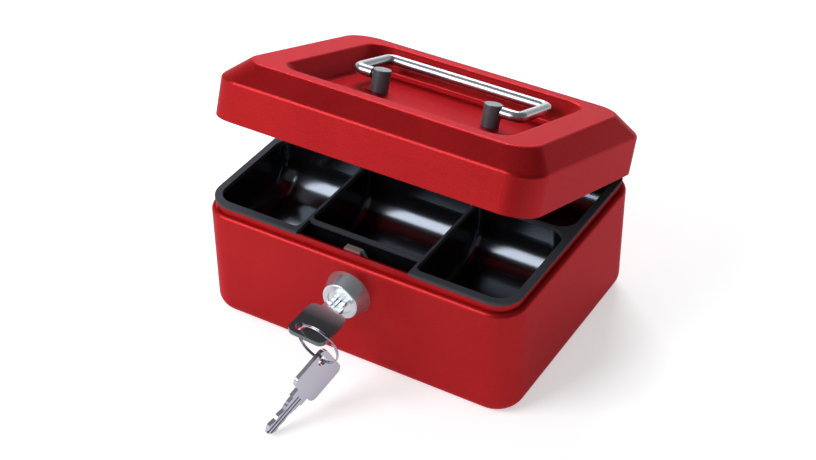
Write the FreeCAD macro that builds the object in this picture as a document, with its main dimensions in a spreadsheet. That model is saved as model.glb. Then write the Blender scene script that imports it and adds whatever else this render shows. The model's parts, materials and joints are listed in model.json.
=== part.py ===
"""Small steel cash box with a coin tray, a key lock and a bail handle sunk into the lid.

The origin is the centre of the underside. +Z is up, +X is to the right and the lock looks along -Y.
The lid stands ajar at lid_angle, and its pieces are drawn in the lid's own frame: the origin is the
middle of the lower rear edge, with the lid reaching along -Y. Sizes are in millimetres and degrees.
"""
import FreeCAD
import Part
import Sketcher
import math
import os
import re

doc = FreeCAD.newDocument("cash_box")
sheet = doc.addObject("Spreadsheet::Sheet", "sizes")

SIZES = {
    # steel body: a drawn tub with a rounded shoulder and a neck that the lid closes over
    # the heights of the neck, the hinge and the lock are measured from the shoulder
    "box_width": 152.0,
    "box_depth": 114.6,
    "sheet_thick": 0.9,
    "corner_radius": 12.9,
    "base_radius": 7.0,
    "shoulder_height": 53.9,
    "shoulder_radius": 2.2,
    "neck_inset": 2.4,
    "neck_height": 3.6,
    # steel lid: upright skirt, bevel, flat rim and a sunk panel for the handle
    "skirt_height": 16.9,
    "bevel": 8.4,
    "crease_radius": 2.0,
    "rim_side": 14.0,
    "rim_front": 7.9,
    "recess_depth": 10.0,
    "recess_radius": 11.0,
    "recess_taper": 33.0,
    "recess_foot": 2.2,
    # hinge at the back
    "hinge_out": 2.6,
    "hinge_height": -1.26,
    "hinge_rise": 3.91,
    "lid_angle": 20.58,
    "knuckle_radius": 2.2,
    "knuckle_length": 12.0,
    "knuckle_gap": 0.3,
    "leaf_thick": 0.9,
    "leaf_height": 15.0,
    "pin_radius": 1.1,
    "pin_head": 0.6,
    "running_clear": 0.08,
    # coin tray
    "flange_thick": 1.5,
    "flange_inset": 1.7,
    "flange_edge": 0.4,
    "tray_wall": 1.2,
    "tray_clear": 0.5,
    "tray_depth": 24.0,
    "scoop_radius": 15.0,
    "bin_radius": 3.0,
    "divider_across": 27.7,
    "divider_back": 1.8,
    "notch_depth": 11.7,
    # lock
    "lock_height": -15.6,
    "lock_across": -0.9,
    "bezel_radius": 10.6,
    "bezel_face": 8.2,
    "bezel_length": 7.2,
    "bezel_edge": 0.7,
    "barrel_radius": 7.5,
    "barrel_inside": 4.25,
    "hole_clear": 0.15,
    "plug_radius": 5.6,
    "plug_sunk": 0.3,
    "nut_width": 19.0,
    "nut_thick": 2.2,
    "washer_radius": 8.0,
    "washer_thick": 0.8,
    "tail_radius": 4.6,
    "tail_flat": 3.9,
    "tail_length": 4.4,
    "cam_thick": 1.5,
    "cam_clear": 0.3,
    "cam_hub": 7.0,
    "cam_arm": 4.0,
    "cam_reach": 19.9,
    "cam_shoulder": 16.4,
    "cam_head": 6.0,
    "cam_top": 3.85,
    "cam_lip": 1.3,
    "lip_height": 1.7,
    "cam_nut_width": 12.0,
    "cam_nut_thick": 2.0,
    # strike inside the lid's front
    "strike_thick": 1.0,
    "strike_half": 8.0,
    "strike_up": 9.5,
    "strike_bend": 5.0,
    "strike_gap": 0.3,
    "strike_drop": 1.05,
    "slot_clear": 0.4,
    "ledge_height": 0.7,
    "ledge_end": 2.5,
    # handle in the lid
    "post_across": 27.2,
    "post_back": 56.3,
    "post_radius": 4.0,
    "post_height": 9.75,
    "post_edge": 0.4,
    "bail_rise": 7.0,
    "bail_half": 39.7,
    "bail_reach": 29.4,
    "bail_bend": 3.4,
    "wire_radius": 2.5,
    "bail_pin": 1.35,
    "bail_clear": 0.4,
    "pin_depth": 4.5,
    "screw_radius": 1.6,
    "screw_length": 5.5,
    "screw_head": 3.2,
    "head_height": 1.7,
    # keys and ring
    "bow_width": 17.7,
    "bow_length": 19.6,
    "bow_corner": 3.2,
    "hole_in": 4.3,
    "key_hole": 2.3,
    "key_thick": 2.0,
    "key_shoulder": 8.6,
    "key_step": 4.0,
    "blade_width": 6.4,
    "blade_length": 21.5,
    "blade_tip": 1.6,
    "blade_groove": 0.5,
    "groove_width": 0.8,
    "groove_across": 0.95,
    "cut_depth": 1.1,
    "cut_pitch": 2.6,
    "keyway_clear": 0.15,
    "key_out": 14.2,
    "key_tilt": 4.6,
    "ring_radius": 9.85,
    "ring_wide": 2.05,
    "ring_deep": 0.8,
    "ring_yaw": -4.9,
    "ring_roll": -79.9,
    "ring_hang": 33.1,
    "spare_round": 90.9,
    "spare_yaw": -16.7,
    "spare_pitch": 28.5,
}

for row, (alias, number) in enumerate(SIZES.items(), start=1):
    sheet.set("A%d" % row, alias)
    sheet.set("B%d" % row, "%g" % number)
    sheet.setAlias("B%d" % row, alias)
doc.recompute()

ALIAS = re.compile(r"\b(%s)\b" % "|".join(SIZES))


def sized(text):
    """Point every size in an expression at its cell of the sheet."""
    return ALIAS.sub(r"sizes.\1", text)


def value(text):
    """The number that an expression stands for now."""
    return float(sheet.evalExpression(sized(text)))


def tie(item, prop, text):
    item.setExpression(prop, sized(text))


def new_body(label, place=None):
    body = doc.addObject("PartDesign::Body", label)
    body.Label = label
    if place:
        tie(body, "Placement", place)
    return body


def new_sketch(body, plane, across="0", up="0", out="0"):
    """A sketch on one of the body's own planes, moved by across and up within it and by out along its normal."""
    sketch = body.newObject("Sketcher::SketchObject", body.Label + "_sketch")
    origin = next(item for item in body.Origin.OriginFeatures if item.Role == plane)
    sketch.AttachmentSupport = [(origin, "")]
    sketch.MapMode = "FlatFace"
    for axis, text in (("x", across), ("y", up), ("z", out)):
        tie(sketch, "AttachmentOffset.Base." + axis, text)
    return sketch


def place_point(sketch, line, end, across, up):
    for kind, text in (("DistanceX", across), ("DistanceY", up)):
        rule = sketch.addConstraint(Sketcher.Constraint(kind, -1, 1, line, end, value(text)))
        tie(sketch, "Constraints[%d]" % rule, text)


def outline(sketch, corners):
    """A closed polygon whose corners stand at the given expressions."""
    spots = [FreeCAD.Vector(value(across), value(up), 0) for across, up in corners]
    lines = []
    for here, there in zip(spots, spots[1:] + spots[:1]):
        lines.append(sketch.addGeometry(Part.LineSegment(here, there), False))
    for line, following in zip(lines, lines[1:] + lines[:1]):
        sketch.addConstraint(Sketcher.Constraint("Coincident", line, 2, following, 1))
    for line, (across, up) in zip(lines, corners):
        place_point(sketch, line, 1, across, up)
    return sketch


def block(left, right, front, back):
    return [(left, front), (right, front), (right, back), (left, back)]


def plan(inset):
    """The box's outline seen from above, drawn in by inset on every side."""
    wide, deep = "(box_width / 2 - (%s))" % inset, "(box_depth / 2 - (%s))" % inset
    return block("-" + wide, wide, "-" + deep, deep)


def rounded(sketch, wide, deep, radius):
    """A rectangle of half sizes wide and deep about the sketch's origin, with its corners rounded."""
    flat, tall, bend = "(%s - (%s))" % (wide, radius), "(%s - (%s))" % (deep, radius), value(radius)
    sides = [
        (("-" + flat, "-" + deep), (flat, "-" + deep)),
        ((wide, "-" + tall), (wide, tall)),
        ((flat, deep), ("-" + flat, deep)),
        (("-" + wide, tall), ("-" + wide, "-" + tall)),
    ]
    middles = [(flat, "-" + tall), (flat, tall), ("-" + flat, tall), ("-" + flat, "-" + tall)]
    lines, arcs = [], []
    for number, (ends, middle) in enumerate(zip(sides, middles)):
        here, there = [FreeCAD.Vector(value(across), value(up), 0) for across, up in ends]
        lines.append(sketch.addGeometry(Part.LineSegment(here, there), False))
        centre = FreeCAD.Vector(value(middle[0]), value(middle[1]), 0)
        ring = Part.Circle(centre, FreeCAD.Vector(0, 0, 1), bend)
        quarter = Part.ArcOfCircle(ring, math.radians(90 * number - 90), math.radians(90 * number))
        arcs.append(sketch.addGeometry(quarter, False))
    for number, (line, arc) in enumerate(zip(lines, arcs)):
        sketch.addConstraint(Sketcher.Constraint("Coincident", line, 2, arc, 1))
        sketch.addConstraint(Sketcher.Constraint("Coincident", arc, 2, lines[(number + 1) % 4], 1))
        for end, (across, up) in enumerate(sides[number], start=1):
            place_point(sketch, line, end, across, up)
        rule = sketch.addConstraint(Sketcher.Constraint("Radius", arc, bend))
        tie(sketch, "Constraints[%d]" % rule, radius)
    return sketch


def circle(sketch, radius, across="0", up="0"):
    middle = FreeCAD.Vector(value(across), value(up), 0)
    round_edge = sketch.addGeometry(Part.Circle(middle, FreeCAD.Vector(0, 0, 1), value(radius)), False)
    place_point(sketch, round_edge, 3, across, up)
    rule = sketch.addConstraint(Sketcher.Constraint("Radius", round_edge, value(radius)))
    tie(sketch, "Constraints[%d]" % rule, radius)
    return sketch


def hexagon(sketch, width):
    """A hexagon across flats, with a corner pointing up."""
    side = "(%s) / 2" % width
    corners = [("%s / cos(30) * sin(%d)" % (side, turn), "%s / cos(30) * cos(%d)" % (side, turn))
               for turn in range(0, 360, 60)]
    return outline(sketch, corners)


def extrude(body, kind, sketch, length, middle=False, back=False, taper="0"):
    feature = body.newObject("PartDesign::" + kind, body.Label + "_" + kind.lower())
    feature.Profile = sketch
    feature.Midplane = middle
    feature.Reversed = back
    tie(feature, "Length", length)
    if taper != "0":
        tie(feature, "TaperAngle", taper)
    doc.recompute()
    return feature


def pad(body, sketch, length, **options):
    return extrude(body, "Pad", sketch, length, **options)


def pocket(body, sketch, length, **options):
    before = body.Shape.Volume
    feature = extrude(body, "Pocket", sketch, length, **options)
    if body.Shape.Volume >= before:
        raise ValueError(body.Label + ": a pocket cuts nothing")
    return feature


def revolve(body, sketch):
    feature = body.newObject("PartDesign::Revolution", body.Label + "_turned")
    feature.Profile = sketch
    feature.ReferenceAxis = (sketch, ["V_Axis"])
    feature.Angle = 360
    doc.recompute()
    return feature


def picked(feature, wanted):
    names = ["Edge%d" % number for number, edge in enumerate(feature.Shape.Edges, start=1) if wanted(edge)]
    if not names:
        raise ValueError(feature.Label + ": no edge to round")
    return names


def dress(body, kind, feature, size, wanted):
    """Round or bevel the edges of a feature that wanted() picks."""
    edges = picked(feature, wanted)
    edge_work = body.newObject("PartDesign::" + kind, body.Label + "_" + kind.lower())
    edge_work.Base = (feature, edges)
    tie(edge_work, "Radius" if kind == "Fillet" else "Size", size)
    doc.recompute()
    return edge_work


def fillet(body, feature, size, wanted):
    return dress(body, "Fillet", feature, size, wanted)


def near(left, right):
    return abs(left - right) < 1e-4


def upright(edge):
    return near(edge.BoundBox.XLength, 0) and near(edge.BoundBox.YLength, 0)


def level_at(height):
    level = value(height)
    return lambda edge: near(edge.BoundBox.ZMin, level) and near(edge.BoundBox.ZMax, level)


def shell(body, feature, wall, height):
    """Hollow the body to a wall, open at its flat face at height."""
    level = value(height)
    faces = ["Face%d" % number for number, face in enumerate(feature.Shape.Faces, start=1)
             if near(face.BoundBox.ZMin, level) and near(face.BoundBox.ZMax, level)]
    hollow = body.newObject("PartDesign::Thickness", body.Label + "_shell")
    hollow.Base = (feature, faces)
    hollow.Reversed = True
    hollow.Join = "Intersection"
    tie(hollow, "Value", wall)
    doc.recompute()
    if hollow.Shape.Volume >= feature.Shape.Volume:
        raise ValueError(body.Label + ": the shell grew outwards")
    return hollow


def turn(axis, angle):
    return "rotation(vector(%s); %s)" % (axis, angle)


def shift(across, back, up, rotation=None):
    return "placement(vector(%s; %s; %s); %s)" % (across, back, up, rotation or turn("1; 0; 0", "0"))


NECK_TOP = "(shoulder_height + neck_height)"
PIN_HEIGHT = "(shoulder_height + hinge_height)"
LOCK_AXIS = "(shoulder_height + lock_height)"

# Body shell: a block for the neck and a wider one for the tub around it, rounded at the corners, the foot and
# the shoulder. It is then hollowed to the sheet, so that the inside follows the outside.
tub = new_body("body_shell")
neck = pad(tub, outline(new_sketch(tub, "XY_Plane"), plan("neck_inset")), NECK_TOP)
neck = fillet(tub, neck, "corner_radius - neck_inset", upright)
lump = pad(tub, outline(new_sketch(tub, "XY_Plane"), plan("0")), "shoulder_height")


def outermost(edge):
    box = edge.BoundBox
    reach = max(abs(box.XMin), abs(box.XMax)) - value("box_width / 2")
    return max(reach, max(abs(box.YMin), abs(box.YMax)) - value("box_depth / 2")) > -0.01


lump = fillet(tub, lump, "corner_radius", lambda edge: upright(edge) and outermost(edge))
lump = fillet(tub, lump, "base_radius", level_at("0"))
at_shoulder = level_at("shoulder_height")
lump = fillet(tub, lump, "shoulder_radius", lambda edge: at_shoulder(edge) and outermost(edge))
shell(tub, lump, "sheet_thick", NECK_TOP)
lock_hole = new_sketch(tub, "XZ_Plane", "lock_across", LOCK_AXIS, "box_depth / 2")
pocket(tub, circle(lock_hole, "barrel_radius + hole_clear"), "2 * sheet_thick")

# Lid shell: an upright skirt, a bevel drawn in evenly all round, a flat rim and a sunk panel with sloping walls.
# The outside and the core are made alike, the core one sheet smaller, and the core is then taken away.
HINGE = shift("0", "box_depth / 2 + hinge_out", PIN_HEIGHT, turn("1; 0; 0", "-lid_angle"))
LID = HINGE + " * " + shift("0", "-hinge_out", "hinge_rise")
LID_TOP = "(skirt_height + bevel)"
FLOOR = "(skirt_height + bevel - recess_depth)"


def lid_form(label, wall, place=None):
    """The lid as a solid block, drawn in by wall on every face that carries the sheet."""
    body = new_body(label, place)
    top, crease = "(%s - %s)" % (LID_TOP, wall), "(skirt_height - %s * tan(22.5))" % wall

    def level(height, inset, radius):
        wide, deep = "(box_width / 2 - %s)" % inset, "(box_depth / 2 - %s)" % inset
        return rounded(new_sketch(body, "XY_Plane", up="-box_depth / 2", out=height), wide, deep, radius)

    pad(body, level("-" + wall, wall, "corner_radius - " + wall), "%s + %s" % (crease, wall))
    crown = body.newObject("PartDesign::AdditiveLoft", label + "_bevel")
    crown.Profile = level(crease, wall, "corner_radius - " + wall)
    crown.Sections = [level(top, "bevel - %s * tan(22.5)" % wall, "corner_radius - %s * tan(22.5)" % wall)]
    crown.Ruled = True
    doc.recompute()
    at_top, at_crease = level_at(top), level_at(crease)
    crown = fillet(body, crown, "crease_radius - " + wall, lambda edge: at_top(edge) or at_crease(edge))
    lean = "(%s * tan(45 - recess_taper / 2))" % wall
    wide = "(box_width / 2 - bevel - rim_side + %s)" % lean
    deep = "(box_depth / 2 - bevel - rim_front + %s)" % lean
    panel = new_sketch(body, "XY_Plane", up="-box_depth / 2", out=top)
    crown = pocket(body, outline(panel, block("-" + wide, wide, "-" + deep, deep)), "recess_depth")
    sunk = value("recess_depth")
    walls = ["Face%d" % number for number, face in enumerate(crown.Shape.Faces, start=1)
             if near(face.BoundBox.ZMax, value(top)) and near(face.BoundBox.ZLength, sunk)]
    draft = body.newObject("PartDesign::Draft", label + "_draft")
    draft.Base = (crown, walls)
    draft.NeutralPlane = (panel, [""])
    draft.Reversed = False
    tie(draft, "Angle", "recess_taper")
    doc.recompute()
    crown = fillet(body, draft, "recess_radius + " + wall, lambda edge: near(edge.BoundBox.ZLength, sunk))
    crown = fillet(body, crown, "recess_foot + " + wall, level_at("%s - recess_depth" % top))
    inside = value(wide) + 0.01
    fillet(body, crown, "crease_radius - " + wall, lambda edge: at_top(edge) and abs(edge.BoundBox.XMax) < inside)
    return body


lid = lid_form("lid_shell", "0", LID)
lid_core = lid.newObject("PartDesign::Boolean", "lid_shell_hollow")
lid_core.Type = "Cut"
lid_core.Group = [lid_form("lid_core", "sheet_thick")]
doc.recompute()
screw_holes = new_sketch(lid, "XY_Plane", up="-post_back", out=FLOOR)
for side in ("-post_across", "post_across"):
    circle(screw_holes, "screw_radius + hole_clear", side)
pocket(lid, screw_holes, "2 * sheet_thick")


# Hinge: two leaves on the outside of the back, each a flat plate with tongues rolled into knuckles that
# take turns along one pin. The frame of both leaves is the middle of the pin.
def hinge_leaf(label, place, sign, first, count):
    leaf = new_body(label, place)
    face, outer = "-hinge_out", "-hinge_out + leaf_thick"
    root = "%s * (knuckle_radius + knuckle_gap + pin_head)" % sign
    half = "(2.5 * knuckle_length)"
    plate = new_sketch(leaf, "XZ_Plane", out="hinge_out - leaf_thick")
    pad(leaf, outline(plate, block("-" + half, half, root, "%s * leaf_height" % sign)), "leaf_thick")
    start = "%s * knuckle_length + knuckle_gap / 2" % first
    width = "knuckle_length - knuckle_gap"
    tongue = outline(new_sketch(leaf, "YZ_Plane", out=start), block(face, outer, "0", root))
    strip = pad(leaf, tongue, width)
    roll = pad(leaf, circle(new_sketch(leaf, "YZ_Plane", out=start), "knuckle_radius"), width)
    row = leaf.newObject("PartDesign::LinearPattern", label + "_row")
    row.Originals = [strip, roll]
    row.Direction = (tongue, ["N_Axis"])
    row.Occurrences = count
    tie(row, "Length", "%d * knuckle_length" % (2 * count - 2))
    leaf.Tip = row
    doc.recompute()
    bore = circle(new_sketch(leaf, "YZ_Plane"), "pin_radius + running_clear")
    pocket(leaf, bore, "6 * knuckle_length", middle=True)
    return leaf


AXIS = shift("0", "box_depth / 2 + hinge_out", PIN_HEIGHT)
hinge_leaf("hinge_leaf_body", AXIS, "-1", "-2.5", 3)
hinge_leaf("hinge_leaf_lid", HINGE, "1", "-1.5", 2)

pin = new_body("hinge_pin", AXIS)
pad(pin, circle(new_sketch(pin, "YZ_Plane"), "pin_radius"), "5 * knuckle_length", middle=True)
for end, away in (("2.5 * knuckle_length", False), ("-2.5 * knuckle_length", True)):
    pad(pin, circle(new_sketch(pin, "YZ_Plane", out=end), "pin_radius + pin_head"), "pin_head", back=away)

# Coin tray: a moulded block that hangs from a flange on the neck. Each bin is a scoop, curved from front to
# back so that coins slide out, and rounded along both side walls. The front of the middle is left open to
# clear the lock.
TRAY_SIDE = "(box_width / 2 - neck_inset - sheet_thick - tray_clear - tray_wall)"
TRAY_END = "(box_depth / 2 - neck_inset - sheet_thick - tray_clear - tray_wall)"
NOTCH = "(-box_depth / 2 + notch_depth)"
RIM = "(%s + flange_thick)" % NECK_TOP
HALF_WALL = "tray_wall / 2"
INNER, OUTER = "divider_across - " + HALF_WALL, "divider_across + " + HALF_WALL
BINS = []
for left, right, front in (
    ("-" + TRAY_SIDE, "-(%s)" % OUTER, "-" + TRAY_END),
    ("-(%s)" % INNER, INNER, NOTCH + " + tray_wall"),
    (OUTER, TRAY_SIDE, "-" + TRAY_END),
):
    BINS.append((left, right, front, "divider_back - " + HALF_WALL))
    BINS.append((left, right, "divider_back + " + HALF_WALL, TRAY_END))


def scoop(body, sides, grow):
    """A rounded trough along X between sides, grown by a wall, with its side walls rounded into it."""
    left, right, front, back = sides
    floor = "%s - tray_depth - %s" % (RIM, grow)
    profile = new_sketch(body, "YZ_Plane", out="%s - %s" % (left, grow))
    outline(profile, block("%s - %s" % (front, grow), "%s + %s" % (back, grow), floor, RIM))
    trough = pad(body, profile, "%s - (%s) + 2 * %s" % (right, left, grow))
    at_floor = level_at(floor)
    trough = fillet(body, trough, "scoop_radius + " + grow,
                    lambda edge: at_floor(edge) and near(edge.BoundBox.YLength, 0))
    for wall in ("%s - %s" % (left, grow), "%s + %s" % (right, grow)):
        place = value(wall)
        outer_wall = near(abs(place), value("%s + %s" % (TRAY_SIDE, grow)))
        radius = "corner_radius - box_width / 2 + " + TRAY_SIDE if outer_wall else "bin_radius"
        trough = fillet(body, trough, "%s + %s" % (radius, grow),
                        lambda edge: at_floor(edge) and near(edge.BoundBox.XMin, place)
                        and near(edge.BoundBox.XMax, place))
    return trough


tray = new_body("coin_tray")
scoop(tray, ("-" + TRAY_SIDE, TRAY_SIDE, "-" + TRAY_END, TRAY_END), "tray_wall")
flange = pad(tray, outline(new_sketch(tray, "XY_Plane", out=NECK_TOP), plan("flange_inset")), "flange_thick")
flange_side = value("box_width / 2 - flange_inset")
flange = fillet(tray, flange, "corner_radius - flange_inset",
                lambda edge: upright(edge) and near(abs(edge.BoundBox.XMin), flange_side))
at_rim = level_at(RIM)
fillet(tray, flange, "flange_edge", lambda edge: at_rim(edge) and edge.BoundBox.XMax > flange_side - 0.01)
notch_cut = new_sketch(tray, "XY_Plane", out=RIM)
outline(notch_cut, block("-(%s)" % INNER, INNER, "-box_depth / 2", NOTCH))
pocket(tray, notch_cut, "tray_depth + 2 * tray_wall")
hollows = []
for number, sides in enumerate(BINS, start=1):
    hollow = new_body("tray_bin_%d" % number)
    scoop(hollow, sides, "0")
    hollows.append(hollow)
bins = tray.newObject("PartDesign::Boolean", "coin_tray_bins")
bins.Type = "Cut"
bins.Group = hollows
doc.recompute()

# Lock: the frame is the lock's axis where it meets the outside of the front, with +Y into the box.
LOCK = shift("lock_across", "-box_depth / 2", LOCK_AXIS)
LOCK_TURNED = shift("lock_across", "-box_depth / 2", LOCK_AXIS, turn("0; 1; 0", "key_tilt"))
barrel = new_body("lock_barrel", LOCK)
section = outline(new_sketch(barrel, "XY_Plane"), [
    ("plug_radius + running_clear", "-bezel_length"),
    ("bezel_face", "-bezel_length"),
    ("bezel_radius", "0"),
    ("barrel_radius", "0"),
    ("barrel_radius", "barrel_inside"),
    ("plug_radius + running_clear", "barrel_inside"),
])
turned = revolve(barrel, section)
rim_reach, rim_front = value("bezel_face"), value("-bezel_length")
fillet(barrel, turned, "bezel_edge", lambda edge: near(edge.BoundBox.YMax, rim_front)
       and near(edge.BoundBox.XMax, rim_reach))

# The plug carries the keyway and a tail with two flats that drives the cam.
plug = new_body("lock_plug", LOCK_TURNED)
FACE = "(bezel_length - plug_sunk)"
pad(plug, circle(new_sketch(plug, "XZ_Plane", out=FACE), "plug_radius"), FACE + " + barrel_inside", back=True)
pad(plug, circle(new_sketch(plug, "XZ_Plane", out="-barrel_inside"), "tail_radius"), "tail_length", back=True)
for low, high in (("tail_flat", "2 * tail_radius"), ("-2 * tail_radius", "-tail_flat")):
    flat = new_sketch(plug, "XZ_Plane", out="-barrel_inside")
    pocket(plug, outline(flat, block("-2 * tail_radius", "2 * tail_radius", low, high)), "2 * tail_length")
keyway = new_sketch(plug, "XZ_Plane", out=FACE)
slot_half, slot_rise = "(blade_width / 2 + keyway_clear)", "(key_thick / 2 + keyway_clear)"
outline(keyway, block("-" + slot_half, slot_half, "-" + slot_rise, slot_rise))
pocket(plug, keyway, FACE + " + barrel_inside + tail_length - plug_sunk")

# A nut clamps the barrel to the front from inside, a washer keeps the cam off it, and a second nut holds the cam.
nut = new_body("lock_nut", LOCK)
pad(nut, hexagon(new_sketch(nut, "XZ_Plane", out="-sheet_thick"), "nut_width"), "nut_thick", back=True)
pocket(nut, circle(new_sketch(nut, "XZ_Plane", out="-sheet_thick"), "barrel_radius + running_clear"), "2 * nut_thick")

washer = new_body("cam_washer", LOCK)
pad(washer, circle(new_sketch(washer, "XZ_Plane", out="-barrel_inside"), "washer_radius"), "washer_thick", back=True)
washer_bore = circle(new_sketch(washer, "XZ_Plane", out="-barrel_inside"), "tail_radius + hole_clear")
pocket(washer, washer_bore, "2 * washer_thick")

CAM_FACE = "-(barrel_inside + washer_thick)"


def flatted_hole(body, start, depth):
    """The hole that fits over the plug's tail: round, with the two flats left standing."""
    hole = new_sketch(body, "XZ_Plane", out=start)
    reach, rise = "(tail_radius + cam_clear)", "(tail_flat + cam_clear)"
    corner = "sqrt(%s ^ 2 - %s ^ 2)" % (reach, rise)
    spots = [(value("-" + corner), value(rise)), (value(corner), value(rise))]
    ends = [FreeCAD.Vector(across, up * sign, 0) for sign in (1, -1) for across, up in spots]
    sides = FreeCAD.Vector(value(reach), 0, 0)
    top = hole.addGeometry(Part.LineSegment(ends[0], ends[1]), False)
    right = hole.addGeometry(Part.Arc(ends[3], sides, ends[1]), False)
    bottom = hole.addGeometry(Part.LineSegment(ends[3], ends[2]), False)
    left = hole.addGeometry(Part.Arc(ends[0], -sides, ends[2]), False)
    joints = ((top, 2, right, 2), (right, 1, bottom, 1), (bottom, 2, left, 2), (left, 1, top, 1))
    for joint in joints:
        hole.addConstraint(Sketcher.Constraint("Coincident", *joint))
    for line, sign in ((top, ""), (bottom, "-")):
        place_point(hole, line, 1, "-" + corner if line == top else corner, sign + rise)
        place_point(hole, line, 2, corner if line == top else "-" + corner, sign + rise)
    for arc in (right, left):
        rule = hole.addConstraint(Sketcher.Constraint("Radius", arc, value(reach)))
        tie(hole, "Constraints[%d]" % rule, reach)
    return pocket(body, hole, depth)


# Cam: a plate with a round hub, an arm, a head with cut corners and a lip turned forward that the strike catches.
cam = new_body("lock_cam", LOCK)
pad(cam, circle(new_sketch(cam, "XZ_Plane", out=CAM_FACE), "cam_hub"), "cam_thick", back=True)
arm = outline(new_sketch(cam, "XZ_Plane", out=CAM_FACE), [
    ("-cam_arm", "0"), ("cam_arm", "0"), ("cam_arm", "cam_shoulder - cam_head + cam_arm"),
    ("cam_head", "cam_shoulder"), ("cam_top", "cam_reach"), ("-cam_top", "cam_reach"),
    ("-cam_head", "cam_shoulder"), ("-cam_arm", "cam_shoulder - cam_head + cam_arm"),
])
pad(cam, arm, "cam_thick", back=True)
lip = outline(new_sketch(cam, "XZ_Plane", out=CAM_FACE),
              block("-cam_top", "cam_top", "cam_reach - lip_height", "cam_reach"))
pad(cam, lip, "cam_lip")
flatted_hole(cam, CAM_FACE + " + cam_lip", "cam_thick + 2 * cam_lip")

cam_nut = new_body("cam_nut", LOCK)
NUT_FACE = CAM_FACE + " - cam_thick"
pad(cam_nut, hexagon(new_sketch(cam_nut, "XZ_Plane", out=NUT_FACE), "cam_nut_width"), "cam_nut_thick", back=True)
pocket(cam_nut, circle(new_sketch(cam_nut, "XZ_Plane", out=NUT_FACE), "tail_radius + running_clear"),
       "2 * cam_nut_thick")

# Strike: a bent plate on the inside of the lid's front. It steps over the neck and hangs behind it, and the
# slot in its foot takes the cam's lip from the side. The ledge under the slot holds the lid down.
strike = new_body("lid_strike", LID)
SKIN = "(-box_depth + sheet_thick)"
BACK = "(-box_depth + neck_inset + sheet_thick + strike_gap)"
bent = new_sketch(strike, "YZ_Plane", out="lock_across")
outline(bent, [
    (SKIN, "strike_bend + strike_up"), (SKIN, "strike_bend"), (BACK, "strike_bend"), (BACK, "-strike_drop"),
    (BACK + " + strike_thick", "-strike_drop"), (BACK + " + strike_thick", "strike_bend + strike_thick"),
    (SKIN + " + strike_thick", "strike_bend + strike_thick"), (SKIN + " + strike_thick", "strike_bend + strike_up"),
])
pad(strike, bent, "2 * strike_half", middle=True)
LIP_TOP = "(lock_height + cam_reach - hinge_height - hinge_rise)"
slot = new_sketch(strike, "XZ_Plane", across="lock_across", out="box_depth")
outline(slot, [
    ("-cam_top - slot_clear", LIP_TOP + " + slot_clear"), ("strike_half + slot_clear", LIP_TOP + " + slot_clear"),
    ("strike_half + slot_clear", "-2 * strike_drop"), ("ledge_end", "-2 * strike_drop"),
    ("ledge_end", "-strike_drop + ledge_height"), ("-cam_top - slot_clear", "-strike_drop + ledge_height"),
])
pocket(strike, slot, "2 * (neck_inset + sheet_thick + strike_gap + strike_thick)")


# Handle: two posts screwed down from under the panel, and a wire bail whose necked ends turn in them.
def handle_post(label, side):
    post = new_body(label, "%s * %s" % (LID, shift("%s * post_across" % side, "-post_back", FLOOR)))
    drum = pad(post, circle(new_sketch(post, "XY_Plane"), "post_radius"), "post_height")
    fillet(post, drum, "post_edge", level_at("post_height"))
    pocket(post, circle(new_sketch(post, "XY_Plane"), "screw_radius"), "screw_length - sheet_thick + hole_clear", back=True)
    eye = circle(new_sketch(post, "YZ_Plane", up="bail_rise", out="%s * post_radius" % side),
                 "bail_pin + running_clear")
    pocket(post, eye, "pin_depth + hole_clear", back=(side == "-1"))


handle_post("handle_post_left", "-1")
handle_post("handle_post_right", "1")

bail = new_body("handle_bail", "%s * %s" % (LID, shift("0", "-post_back", FLOOR + " + bail_rise")))
START = "post_across + post_radius + bail_clear"
route = new_sketch(bail, "XY_Plane")
start, half, reach, bend = value(START), value("bail_half"), value("bail_reach"), value("bail_bend")


def bend_arc(middle_across, middle_up, from_angle):
    centre = FreeCAD.Vector(middle_across, middle_up, 0)
    ring = Part.Circle(centre, FreeCAD.Vector(0, 0, 1), bend)
    return Part.ArcOfCircle(ring, math.radians(from_angle), math.radians(from_angle + 90))


def run(across_from, up_from, across_to, up_to):
    return Part.LineSegment(FreeCAD.Vector(across_from, up_from, 0), FreeCAD.Vector(across_to, up_to, 0))


pieces = [
    run(start, 0, half - bend, 0),
    bend_arc(half - bend, bend, 270),
    run(half, bend, half, reach - bend),
    bend_arc(half - bend, reach - bend, 0),
    run(half - bend, reach, bend - half, reach),
    bend_arc(bend - half, reach - bend, 90),
    run(-half, reach - bend, -half, bend),
    bend_arc(bend - half, bend, 180),
    run(bend - half, 0, -start, 0),
]
for piece in pieces:
    route.addGeometry(piece, False)
for number in range(8):
    route.addConstraint(Sketcher.Constraint("Tangent", number, 2, number + 1, 1))
route.addConstraint(Sketcher.Constraint("Horizontal", 4))
for number in (1, 3, 5, 7):
    rule = route.addConstraint(Sketcher.Constraint("Radius", number, bend))
    tie(route, "Constraints[%d]" % rule, "bail_bend")
place_point(route, 0, 1, START, "0")
place_point(route, 8, 2, "-(%s)" % START, "0")
for line, across in ((2, "bail_half"), (6, "-bail_half")):
    rule = route.addConstraint(Sketcher.Constraint("DistanceX", -1, 1, line, 1, value(across)))
    tie(route, "Constraints[%d]" % rule, across)
rule = route.addConstraint(Sketcher.Constraint("DistanceY", -1, 1, 4, 1, reach))
tie(route, "Constraints[%d]" % rule, "bail_reach")
wire = bail.newObject("PartDesign::AdditivePipe", "handle_bail_wire")
wire.Profile = circle(new_sketch(bail, "YZ_Plane", out=START), "wire_radius")
wire.Spine = (route, [])
doc.recompute()
for side, away in (("", True), ("-", False)):
    neck = circle(new_sketch(bail, "YZ_Plane", out="%s(%s)" % (side, START)), "bail_pin")
    pad(bail, neck, "bail_clear + pin_depth", back=away)

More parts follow.
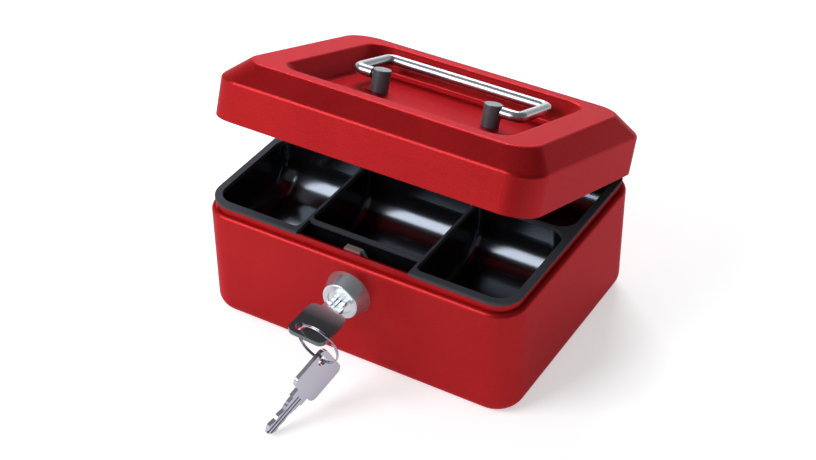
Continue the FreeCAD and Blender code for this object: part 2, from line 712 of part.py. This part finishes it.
# Screws: one solid per post in one node, each a pan head under the panel and a shank up into the post.
screws = []
for side in ("-1", "1"):
    screw = new_body("screw_%s" % ("left" if side == "-1" else "right"),
                     "%s * %s" % (LID, shift("%s * post_across" % side, "-post_back", FLOOR + " - sheet_thick")))
    head = pad(screw, circle(new_sketch(screw, "XY_Plane"), "screw_head"), "head_height", back=True)
    head = fillet(screw, head, "head_height / 2", level_at("-head_height"))
    shank = circle(new_sketch(screw, "XY_Plane"), "screw_radius - running_clear")
    pad(screw, shank, "screw_length")
    screws.append(screw)
handle_screws = doc.addObject("Part::Compound", "handle_screws")
handle_screws.Label = "handle_screws"
handle_screws.Links = screws


# Keys: the frame is the middle of the bow's near edge, +Y towards the ring and the blade along -Y. The bow is
# a plate with rounded corners and a hole in one corner; the blade has a shoulder, cuts on both edges and two grooves a side.
def flat_key(label, place):
    key = new_body(label, place)
    half = "(bow_width / 2)"
    bow = outline(new_sketch(key, "XY_Plane"), block("-" + half, half, "0", "bow_length"))
    plate = pad(key, bow, "key_thick", middle=True)
    fillet(key, plate, "bow_corner", upright)
    edge, steps = "(blade_width / 2)", []
    for number in range(5):
        deep = "cut_depth * %g" % (0.4, 1.0, 0.55, 0.9, 0.5)[number]
        lie = "-(blade_length - blade_tip - cut_pitch * %g)" % (4.6 - number)
        steps.append((deep, lie))
    right = [("key_shoulder / 2", "bow_corner / 2"), ("key_shoulder / 2", "-key_step"), (edge, "-key_step"),
             (edge, steps[0][1] + " + cut_pitch / 2")]
    for deep, lie in steps:
        for end in ("+", "-"):
            right.append(("%s - %s" % (edge, deep), "%s %s cut_pitch / 5" % (lie, end)))
    right.append(("blade_tip / 2", "-blade_length"))
    left = [("-(%s)" % across, along) for across, along in right[::-1]]
    pad(key, outline(new_sketch(key, "XY_Plane"), right + left), "key_thick", middle=True)
    for face, away in (("key_thick / 2", False), ("-key_thick / 2", True)):
        groove = new_sketch(key, "XY_Plane", out=face)
        for side in ("-groove_across", "groove_across"):
            outline(groove, block(side + " - groove_width / 2", side + " + groove_width / 2",
                                  "-blade_length - blade_tip", "-key_step / 2"))
        pocket(key, groove, "blade_groove", back=away)
    eye = circle(new_sketch(key, "XY_Plane"), "key_hole", "hole_in - bow_width / 2", "bow_length - hole_in")
    pocket(key, eye, "2 * key_thick", middle=True)
    return key


KEY_TURN = turn("0; 1; 0", "key_tilt") + " * " + turn("1; 0; 0", "180")
flat_key("key_in_lock", shift("lock_across", "-box_depth / 2 - key_out", LOCK_AXIS, KEY_TURN))

# Ring: a split ring, one wire wound twice round, threaded through the corner of the first key.
# The spare key hangs from it with its blade resting on the ground in front of the box.
EYE = ("lock_across + (hole_in - bow_width / 2) * cos(key_tilt)",
       "-box_depth / 2 - key_out - bow_length + hole_in",
       LOCK_AXIS + " - (hole_in - bow_width / 2) * sin(key_tilt)")
RING = "%s * %s" % (shift(*EYE, turn("0; 0; 1", "ring_yaw") + " * " + turn("1; 0; 0", "ring_roll")),
                    shift("ring_radius * cos(ring_hang)", "ring_radius * sin(ring_hang)", "0"))
ring = new_body("key_ring", RING)
PITCH = "(ring_wide - ring_deep)"
for half in range(4):
    side = "-" if half % 2 else ""
    start = "%s * %g" % (PITCH, half / 2 - 1)
    middle = "%s + %s / 4" % (start, PITCH)
    wire_end = circle(new_sketch(ring, "XZ_Plane"), "ring_deep / 2", side + "ring_radius", start)
    axis = wire_end.addGeometry(Part.LineSegment(FreeCAD.Vector(0, 0, 0), FreeCAD.Vector(0, 1, 0)), True)
    place_point(wire_end, axis, 1, "0", middle)
    place_point(wire_end, axis, 2, "%s%s / 4" % (side, PITCH), middle + " + ring_radius")
    turning = ring.newObject("PartDesign::Revolution", "key_ring_half_%d" % (half + 1))
    turning.Profile = wire_end
    turning.ReferenceAxis = (wire_end, ["Axis0"])
    turning.Angle = 180
    doc.recompute()
coil_gap = min(math.hypot(2 * value("ring_radius") * math.sin(math.pi * step / 400),
                          value(PITCH) * (1 - abs(step) / 400)) for step in range(-100, 101)) - value("ring_deep")
print("least gap between the ring's turns %.3f mm" % coil_gap)

SPARE_TURN = " * ".join((turn("0; 0; 1", "spare_yaw"), turn("1; 0; 0", "spare_pitch"), turn("0; 1; 0", "90")))
HUNG = shift("ring_radius * cos(spare_round)", "ring_radius * sin(spare_round)", "0",
             turn("1; 0; 0", "-ring_roll") + " * " + turn("0; 0; 1", "-ring_yaw") + " * " + SPARE_TURN)
flat_key("spare_key", "%s * %s * %s" % (RING, HUNG, shift("bow_width / 2 - hole_in", "hole_in - bow_length", "0")))

# Check every object and piece, then write one file per piece.
doc.recompute()
NODES = [
    "body_shell", "lid_shell", "hinge_leaf_body", "hinge_leaf_lid", "hinge_pin", "coin_tray", "lock_barrel",
    "lock_plug", "lock_nut", "cam_washer", "lock_cam", "cam_nut", "lid_strike", "handle_post_left",
    "handle_post_right", "handle_bail", "handle_screws", "key_in_lock", "key_ring", "spare_key",
]
for item in doc.Objects:
    if "Invalid" in item.State or "Error" in item.State:
        raise RuntimeError("%s failed: %s" % (item.Label, item.State))
os.makedirs("parts", exist_ok=True)
pieces = {label: doc.getObjectsByLabel(label)[0] for label in NODES}
for label, piece in pieces.items():
    if piece.Shape.isNull() or not piece.Shape.isValid():
        raise RuntimeError(label + " has no valid shape")
for label, piece in pieces.items():
    piece.Shape.exportStep("parts/%s.step" % label)
    print("%-18s solids %d  volume %9.1f mm3" % (label, len(piece.Shape.Solids), piece.Shape.Volume))
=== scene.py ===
import json
import math

import bmesh
import bpy
import numpy as np
from mathutils import Matrix, Vector


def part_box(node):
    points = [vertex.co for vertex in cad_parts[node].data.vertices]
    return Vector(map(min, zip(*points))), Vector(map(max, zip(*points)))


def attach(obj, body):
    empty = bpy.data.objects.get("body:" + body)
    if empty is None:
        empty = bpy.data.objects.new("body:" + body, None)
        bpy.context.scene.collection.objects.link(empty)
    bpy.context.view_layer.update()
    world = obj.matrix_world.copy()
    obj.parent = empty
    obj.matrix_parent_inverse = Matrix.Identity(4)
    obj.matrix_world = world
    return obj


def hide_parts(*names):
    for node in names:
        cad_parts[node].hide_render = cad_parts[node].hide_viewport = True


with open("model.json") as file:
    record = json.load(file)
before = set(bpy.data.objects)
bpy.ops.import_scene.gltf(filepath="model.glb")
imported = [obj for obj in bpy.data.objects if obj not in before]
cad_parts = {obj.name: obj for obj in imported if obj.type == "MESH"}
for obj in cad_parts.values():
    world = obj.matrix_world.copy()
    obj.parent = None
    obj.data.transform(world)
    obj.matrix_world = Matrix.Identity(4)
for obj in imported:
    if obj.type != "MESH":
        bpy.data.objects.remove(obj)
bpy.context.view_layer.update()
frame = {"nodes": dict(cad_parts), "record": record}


# Camera: stands to the right of the front and looks down on the box, as for a shop's catalogue picture.
# Turn, height and roll say how it is turned, and the offset is its place from the frame's origin along
# its own three axes: sideways, upward and backward.
def add_object(name, data):
    made = bpy.data.objects.new(name, data)
    bpy.context.scene.collection.objects.link(made)
    return made


view_turn, view_height, view_roll = math.radians(31.193), math.radians(37.045), math.radians(-0.594)
view_offset = Vector((-0.005648, 0.027090, 0.790064))
focal_pixels, picture_pixels, sensor_mm = 1747.42, 816, 36.0
backward = Vector((math.sin(view_turn) * math.cos(view_height),
                   -math.cos(view_turn) * math.cos(view_height), math.sin(view_height)))
sideways = Vector((math.cos(view_turn), math.sin(view_turn), 0.0))
upward = backward.cross(sideways)
rolled = Matrix.Rotation(-view_roll, 3, "Z") @ Matrix((sideways, upward, backward))
lens = bpy.data.cameras.new("picture_camera")
lens.sensor_fit = "HORIZONTAL"
lens.sensor_width = sensor_mm
lens.lens = focal_pixels / picture_pixels * sensor_mm
lens.clip_start = 0.01
camera = add_object("picture_camera", lens)
camera.matrix_world = Matrix.Translation(rolled.transposed() @ view_offset) @ rolled.transposed().to_4x4()
bpy.context.scene.camera = camera
bpy.context.scene.view_settings.view_transform = "Standard"


# Table: a sheet of white board under the box. It is bright enough to come out white around the box,
# and the same white shows in the chrome, while the soft shadow under the box stays.
def grid_mesh(name, points, closed=False, same_place=1e-7, sharp_degrees=35):
    """A mesh through grids of points, shaped rows by columns by three, with one face per grid square.
    In a closed grid the last column is joined to the first one, rows shrunk to a point are merged, and the
    mesh is shaded smooth apart from edges over the sharp angle."""
    index = np.arange(points[..., 0].size).reshape(points.shape[:-1])
    if closed:
        index = np.concatenate([index, index[..., :1]], axis=-1)
    corners = (index[..., :-1, :-1], index[..., :-1, 1:], index[..., 1:, 1:], index[..., 1:, :-1])
    faces = np.stack(corners, axis=-1).reshape(-1, 4)
    mesh = bpy.data.meshes.new(name)
    mesh.from_pydata(points.reshape(-1, 3).tolist(), [], faces.tolist())
    if closed:
        whole = bmesh.new()
        whole.from_mesh(mesh)
        bmesh.ops.remove_doubles(whole, verts=whole.verts, dist=same_place)
        bmesh.ops.recalc_face_normals(whole, faces=whole.faces)
        whole.to_mesh(mesh)
        whole.free()
        mesh.shade_smooth()
        mesh.set_sharp_from_angle(angle=math.radians(sharp_degrees))
    mesh.update()
    return mesh


def put(tree, kind, given=None, **settings):
    """Add a shader node with its settings, and give each input a number, a colour or a node's output."""
    made = tree.nodes.new("ShaderNode" + kind)
    for name, setting in settings.items():
        setattr(made, name, setting)
    for name, source in (given or {}).items():
        if isinstance(source, bpy.types.NodeSocket):
            tree.links.new(source, made.inputs[name])
        else:
            made.inputs[name].default_value = source
    return made


def new_finish(name, **sockets):
    """A material whose Principled shader has the given constant sockets, named with underscores."""
    finish = bpy.data.materials.new(name)
    finish.use_nodes = True
    shader = finish.node_tree.nodes["Principled BSDF"]
    for socket, constant in sockets.items():
        shader.inputs[socket.replace("_", " ")].default_value = constant
    return finish, finish.node_tree, shader


def feed(tree, shader, **outputs):
    """Link node outputs to the shader's sockets, named with underscores."""
    for socket, output in outputs.items():
        tree.links.new(output, shader.inputs[socket.replace("_", " ")])


table_half, table_glow = 3.0, 0.50
lines = np.linspace(-table_half, table_half, 3)
across, along = np.meshgrid(lines, lines)
table = add_object("table", grid_mesh("table", np.stack([across, along, np.zeros_like(across)], -1)))
board, tree, shader = new_finish("white_board", Base_Color=(0.88, 0.88, 0.88, 1), Roughness=0.9,
                                 Specular_IOR_Level=0.1, Emission_Color=(1, 1, 1, 1))
rays = put(tree, "LightPath").outputs
seen = put(tree, "Math", {0: rays["Is Camera Ray"], 1: rays["Is Glossy Ray"]}, operation="MAXIMUM")
seen = put(tree, "Math", {0: seen.outputs[0], 1: rays["Is Transmission Ray"]}, operation="MAXIMUM")
glow = put(tree, "Math", {0: seen.outputs[0], 1: table_glow}, operation="MULTIPLY")
feed(tree, shader, Emission_Strength=glow.outputs[0])
table.data.materials.append(board)


# Lights: a large soft box in front on the left, another behind on the left, and a studio whose walls
# are white low down on the left and fall off to grey overhead and towards the right.
soft_white, studio_white = (0.95, 0.97, 1.0), (0.98, 0.99, 1.0, 1)


def soft_box(name, place, aim, size, power):
    light = bpy.data.lights.new(name, "AREA")
    light.shape = "RECTANGLE"
    light.size, light.size_y = size
    light.energy = power
    light.color = soft_white
    lamp = add_object(name, light)
    lamp.location = place
    lamp.rotation_euler = (Vector(place) - Vector(aim)).to_track_quat("Z", "Y").to_euler()


soft_box("soft_box_front", place=(-0.80, -1.10, 0.98), aim=(0, 0, 0.05), size=(1.0, 0.85), power=19)
soft_box("soft_box_back", place=(-0.72, 1.20, 0.95), aim=(0, 0, 0.09), size=(1.0, 0.7), power=16)
studio_grey, studio_high, studio_low = 0.14, 0.22, 0.70
white_foot, white_top = 0.06, 0.45
white_side, away, towards, away_share = (-0.85, 0.10, 0.0), -0.35, 0.55, 0.2
world = bpy.data.worlds.new("studio")
bpy.context.scene.world = world
world.use_nodes = True
tree = world.node_tree
background = tree.nodes["Background"]
way = put(tree, "TexCoord").outputs["Generated"]
height = put(tree, "SeparateXYZ", {0: way}).outputs["Z"]
low = put(tree, "MapRange", {"Value": height, "From Min": white_foot, "From Max": white_top,
                             "To Min": studio_low, "To Max": 0.0}, interpolation_type="SMOOTHSTEP")
facing = put(tree, "VectorMath", {0: way, 1: white_side}, operation="DOT_PRODUCT")
side = put(tree, "MapRange", {"Value": facing.outputs["Value"], "From Min": away, "From Max": towards,
                              "To Min": away_share, "To Max": 1.0}, interpolation_type="SMOOTHSTEP")
wall = put(tree, "Math", {0: low.outputs["Result"], 1: studio_high}, operation="ADD")
wall = put(tree, "Math", {0: wall.outputs[0], 1: side.outputs["Result"], 2: studio_grey},
           operation="MULTIPLY_ADD")
tree.links.new(wall.outputs[0], background.inputs["Strength"])
background.inputs["Color"].default_value = studio_white


# Body: a tub deep-drawn from steel sheet, with a rounded foot and shoulder and an upright neck.
# It is stove-coated in red, a hard half-gloss coat with a fine pebbled grain.
grain_height, drifts_per_metre = 0.0002, 35.0
grain = bpy.data.node_groups.new("surface_grain", "ShaderNodeTree")
for label in ("Grains per metre", "Depth"):
    grain.interface.new_socket(label, in_out="INPUT", socket_type="NodeSocketFloat")
for label, kind in (("Normal", "NodeSocketVector"), ("Drift", "NodeSocketFloat")):
    grain.interface.new_socket(label, in_out="OUTPUT", socket_type=kind)
grain_in = grain.nodes.new("NodeGroupInput").outputs
grain_out = grain.nodes.new("NodeGroupOutput").inputs
place = put(grain, "TexCoord").outputs["Object"]
fine = put(grain, "TexNoise", {"Vector": place, "Scale": grain_in["Grains per metre"], "Detail": 2.0})
broad = put(grain, "TexNoise", {"Vector": place, "Scale": drifts_per_metre, "Detail": 4.0})
relief = put(grain, "Bump", {"Strength": grain_in["Depth"], "Distance": grain_height,
                             "Height": fine.outputs["Fac"]})
grain.links.new(relief.outputs["Normal"], grain_out["Normal"])
grain.links.new(broad.outputs["Fac"], grain_out["Drift"])
drift_low, drift_high = 0.3, 0.7


def between(tree, mask, start, end, first, last):
    """A colour that goes from the first one to the last one as a mask goes from start to end. Map Range has
    the same labels on its number and vector sockets, so the vector ones are given by their places."""
    sockets = {"Vector": mask, 7: (start,) * 3, 8: (end,) * 3, 9: first, 10: last}
    return put(tree, "MapRange", sockets, data_type="FLOAT_VECTOR").outputs["Vector"]


def grained(name, dark, light, rough, grains, depth, **sockets):
    """A finish whose colour and roughness drift between two limits, with a fine grain in its height."""
    finish, tree, shader = new_finish(name, **sockets)
    surface = put(tree, "Group", {"Grains per metre": grains, "Depth": depth}, node_tree=grain).outputs
    shade = between(tree, surface["Drift"], drift_low, drift_high, dark, light)
    gloss = put(tree, "MapRange", {"Value": surface["Drift"], "From Min": drift_low, "From Max": drift_high,
                                   "To Min": rough[0], "To Max": rough[1]}).outputs["Result"]
    feed(tree, shader, Base_Color=shade, Roughness=gloss, Normal=surface["Normal"])
    return finish


def finish_nodes(finish, *names):
    for name in names:
        materials = frame["nodes"][name].data.materials
        materials.clear()
        materials.append(finish)


red_coat = grained("red_coat", dark=(0.345, 0.008, 0.010), light=(0.39, 0.010, 0.012), rough=(0.40, 0.46),
                   grains=1500.0, depth=0.6, Metallic=0.75, Specular_Tint=(1.0, 0.53, 0.57, 1),
                   Specular_IOR_Level=0.0, Coat_Weight=0.05, Coat_IOR=2.2, Coat_Roughness=0.25)
finish_nodes(red_coat, "body_shell")


# Hinge: two steel leaves rolled into knuckles and welded to the box and the lid before coating,
# turning on a plain zinc-plated pin.
zinc_plate = grained("zinc_plate", dark=(0.50, 0.51, 0.52), light=(0.62, 0.62, 0.62), rough=(0.30, 0.42),
                     grains=700.0, depth=0.06, Metallic=0.75)
finish_nodes(red_coat, "hinge_leaf_body", "hinge_leaf_lid")
finish_nodes(zinc_plate, "hinge_pin")


# Coin tray: moulded in black polystyrene and dropped into the neck. The bins are glossy from the polished
# mould, and the rim and the tops of the walls are left matt.
rim_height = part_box("coin_tray")[1][2]
matt_foot, matt_top = rim_height - 0.0022, rim_height - 0.0016
bin_black, rim_black = (0.005, 0.005, 0.006), (0.014, 0.015, 0.017)
bin_rough, rim_rough = 0.18, 0.95
black_plastic, tree, shader = new_finish("black_plastic", IOR=1.65, Specular_IOR_Level=0.9,
                                         Specular_Tint=(0.78, 0.86, 1.0, 1))
place = put(tree, "TexCoord").outputs["Object"]
height = put(tree, "SeparateXYZ", {0: place}).outputs["Z"]
matt = put(tree, "MapRange", {"Value": height, "From Min": matt_foot,
                              "From Max": matt_top}).outputs["Result"]
shade = between(tree, matt, 0.0, 1.0, bin_black, rim_black)
gloss = put(tree, "MapRange", {"Value": matt, "To Min": bin_rough, "To Max": rim_rough}).outputs["Result"]
surface = put(tree, "Group", {"Grains per metre": 1400.0, "Depth": 0.04}, node_tree=grain).outputs
feed(tree, shader, Base_Color=shade, Roughness=gloss, Normal=surface["Normal"])
finish_nodes(black_plastic, "coin_tray")


# Lock: a turned brass barrel with a conical bezel, chrome plated, held by a nut behind the front wall.
# Its plug carries a stamped steel cam between a washer and a nut.
turned_chrome = grained("turned_chrome", dark=(0.50, 0.525, 0.565), light=(0.57, 0.595, 0.635),
                        rough=(0.18, 0.22), grains=300.0, depth=0.02, Metallic=0.8, Anisotropic=0.7)
tree = turned_chrome.node_tree
around = put(tree, "Tangent", direction_type="RADIAL", axis="Y").outputs["Tangent"]
feed(tree, tree.nodes["Principled BSDF"], Tangent=around)
finish_nodes(turned_chrome, "lock_barrel")
satin_nickel = grained("satin_nickel", dark=(0.56, 0.57, 0.61), light=(0.64, 0.65, 0.69),
                       rough=(0.28, 0.36), grains=900.0, depth=0.05, Metallic=0.9)
finish_nodes(satin_nickel, "lock_plug")
finish_nodes(zinc_plate, "lock_nut", "cam_washer", "lock_cam", "cam_nut")


# Lid: pressed from the same sheet as the body, with a bevelled edge and a sunk panel, and coated alike.
# The strike that the cam catches is a zinc-plated bracket welded inside its front.
finish_nodes(red_coat, "lid_shell")
finish_nodes(zinc_plate, "lid_strike")


# Handle: a bail bent from chromed steel wire, whose ends turn in two posts cast in zinc.
# The posts have a dark satin chrome and are held to the sunk panel by screws from below.
chrome_plate = grained("chrome_plate", dark=(0.42, 0.435, 0.46), light=(0.48, 0.495, 0.52),
                       rough=(0.26, 0.32), grains=300.0, depth=0.02, Metallic=1.0)
dark_chrome = grained("dark_chrome", dark=(0.10, 0.145, 0.165), light=(0.13, 0.175, 0.195),
                      rough=(0.26, 0.32), grains=900.0, depth=0.03, Metallic=0.4, Specular_IOR_Level=0.9)
finish_nodes(chrome_plate, "handle_bail")
finish_nodes(dark_chrome, "handle_post_left", "handle_post_right")


# Handle screws: two pan-head screws of zinc-plated steel, driven up through the panel into the posts.
# Their heads have a cross recess and show inside the lid when it is open.
def pan_screws(faces, axis, head, edge, under, shank, length, arm, bar, slope, deep):
    """Turned about the axis, a profile goes out over the flat face, round its edge by a quarter circle, up
    to the seat, in to the shank, along it and in to its end. The cross in the face is sunk by the greater
    of two crossed bars, and each bar's depth rises from nothing to full over a short slope inside its
    outline."""
    face_rings, edge_rings, segments = 48, 8, 96
    bend = np.linspace(0, np.pi / 2, edge_rings)[1:]
    flat, end = head - edge, under + length
    out = np.concatenate([np.linspace(0, flat, face_rings), flat + edge * np.sin(bend),
                          [head, shank, shank, 0]])
    up = np.concatenate([np.zeros(face_rings), edge * (1 - np.cos(bend)), [under, under, end, end]])
    turn = np.linspace(0, 2 * np.pi, segments, endpoint=False)
    x, y = out[:, None] * np.cos(turn), out[:, None] * np.sin(turn)
    along_bar, over_bar = np.abs(np.stack([x, y])), np.abs(np.stack([y, x]))
    inside = np.clip((arm - along_bar) / slope, 0, 1) * np.clip((bar - over_bar) / slope, 0, 1)
    rise = up[:, None] + deep * np.where(up[:, None] > 0, 0, inside.max(axis=0))
    side = np.array([1.0, 0.0, 0.0])
    level = faces[:, None, None] + x[..., None] * side + y[..., None] * np.cross(axis, side)
    return level + rise[..., None] * axis


joints = {joint["name"]: joint for joint in frame["record"]["behaviour"]["joints"]}
lid_tilt = math.radians(-joints["lid_hinge"]["range_deg"][0])
screw_axis = np.array([0.0, math.sin(lid_tilt), math.cos(lid_tilt)])
same_level = 1e-5
plain_screws = frame["nodes"]["handle_screws"].data.vertices
corners = np.empty(3 * len(plain_screws))
plain_screws.foreach_get("co", corners)
corners = corners.reshape(-1, 3)
rises = corners @ screw_axis
lowest = corners[rises < rises.min() + same_level]
face_middle = (lowest.min(axis=0) + lowest.max(axis=0)) / 2
face_middle[0] = 0.0
apart = np.abs(lowest[:, 0]).min() + np.abs(lowest[:, 0]).max()
screw_faces = face_middle + np.array([[-0.5, 0, 0], [0.5, 0, 0]]) * apart
screw_points = pan_screws(screw_faces, screw_axis, head=0.0032, edge=0.00085, under=0.0017, shank=0.00152,
                          length=0.0055, arm=0.0018, bar=0.00045, slope=0.00018, deep=0.0011)
screws = add_object("pan_screws", grid_mesh("pan_screws", screw_points, closed=True))
screws.data.materials.append(zinc_plate)
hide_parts("handle_screws")
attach(screws, "lid")


# Keys: both are blanked from brass sheet, cut along both edges of the blade and nickel plated.
# The one in the lock has a painted reflection: its bow is painted dark as if mirroring the dark room, and
# its blade is painted bright as if mirroring the lock's face. The spare one is as new.
bow_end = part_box("key_in_lock")[0][1]
painted_dark_until, painted_bright_from = bow_end + 0.0116, bow_end + 0.0216
painted_blade_reflection = (0.62, 0.65, 0.70, 1)
nickel_painted_reflection = grained("nickel_painted_reflection", dark=(0.10, 0.130, 0.143), light=(0.14, 0.170, 0.183),
                      rough=(0.16, 0.24), grains=900.0, depth=0.04, Metallic=0.6)
tree = nickel_painted_reflection.node_tree
shader = tree.nodes["Principled BSDF"]
# Painted reflection: along the key the base colour goes from the painted dark bow to the painted bright
# blade.
place = put(tree, "TexCoord").outputs["Object"]
inward = put(tree, "SeparateXYZ", {0: place}).outputs["Y"]
painted_reflection_mask = put(tree, "MapRange", {"Value": inward, "From Min": painted_dark_until,
                              "From Max": painted_bright_from}).outputs["Result"]
painted_dark_bow = shader.inputs["Base Color"].links[0].from_socket
mix_share, mix_first, mix_last, mix_result = 0, 6, 7, 2
shade = put(tree, "Mix", {mix_share: painted_reflection_mask, mix_first: painted_dark_bow, mix_last: painted_blade_reflection}, data_type="RGBA")
feed(tree, shader, Base_Color=shade.outputs[mix_result])
finish_nodes(nickel_painted_reflection, "key_in_lock")
nickel_plate = grained("nickel_plate", dark=(0.40, 0.40, 0.46), light=(0.46, 0.46, 0.53),
                       rough=(0.12, 0.18), grains=700.0, depth=0.03, Metallic=1.0)
finish_nodes(nickel_plate, "spare_key")


# Key ring: sprung steel wire wound twice round, nickel plated, with the turns pressed together.
# It goes through the corner holes of both keys, and the wire crosses over away from them.
def wound_ring(middle, normal, first, radius, wire, turns, cross):
    """A round wire along a ring that is wound more than once round. The first turn lies on one side of the
    ring's middle plane, and over the angle cross before that turn ends the wire goes over to the other side
    by an S curve. The wire's radius shrinks as a quarter circle at both ends, so that they are rounded."""
    tip_steps, path_steps, segments = 7, 400, 16
    second = np.cross(normal, first)
    length = turns * 2 * np.pi * radius
    tip = wire * (1 - np.cos(np.linspace(0, np.pi / 2, tip_steps)))
    path = np.linspace(tip[-1], length - tip[-1], path_steps)[1:-1]
    run = np.concatenate([tip, path, length - tip[::-1]])
    angle = run / radius
    step = np.clip((angle - 2 * np.pi + cross) / cross, 0, 1)
    shift = wire * (2 * step ** 2 * (3 - 2 * step) - 1)
    thick = wire * np.sqrt(1 - np.clip(1 - np.minimum(run, length - run) / wire, 0, 1) ** 2)
    turn = np.linspace(0, 2 * np.pi, segments, endpoint=False)
    outward = np.cos(angle)[:, None] * first + np.sin(angle)[:, None] * second
    out = radius + thick[:, None] * np.cos(turn)
    up = shift[:, None] + thick[:, None] * np.sin(turn)
    return middle + out[..., None] * outward[:, None, :] + up[..., None] * normal


on_key, on_spare = (np.array(joints[name]["pos_m"]) for name in ("ring_swing", "spare_swing"))
along_key, along_spare = (np.array(joints[name]["axis"]) for name in ("ring_swing", "spare_swing"))
ring_normal = np.cross(along_key, along_spare)
ring_normal /= np.linalg.norm(ring_normal)
to_middle = np.stack([np.cross(ring_normal, along_key), -np.cross(ring_normal, along_spare)], axis=1)
ring_radius = np.linalg.lstsq(to_middle, on_spare - on_key, rcond=None)[0][0]
ring_middle = on_key + ring_radius * to_middle[:, 0]
ring_wire, ring_turns, ring_cross, ring_start = 0.00034, 1.92, 0.45, 2.0
from_key = (on_key - ring_middle) / abs(ring_radius)
from_start = math.cos(ring_start) * from_key + math.sin(ring_start) * np.cross(ring_normal, from_key)
ring_points = wound_ring(ring_middle, ring_normal, from_start, abs(ring_radius), ring_wire, ring_turns,
                         ring_cross)
ring = add_object("split_ring", grid_mesh("split_ring", ring_points, closed=True))
ring.data.materials.append(nickel_plate)
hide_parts("key_ring")
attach(ring, "ring")
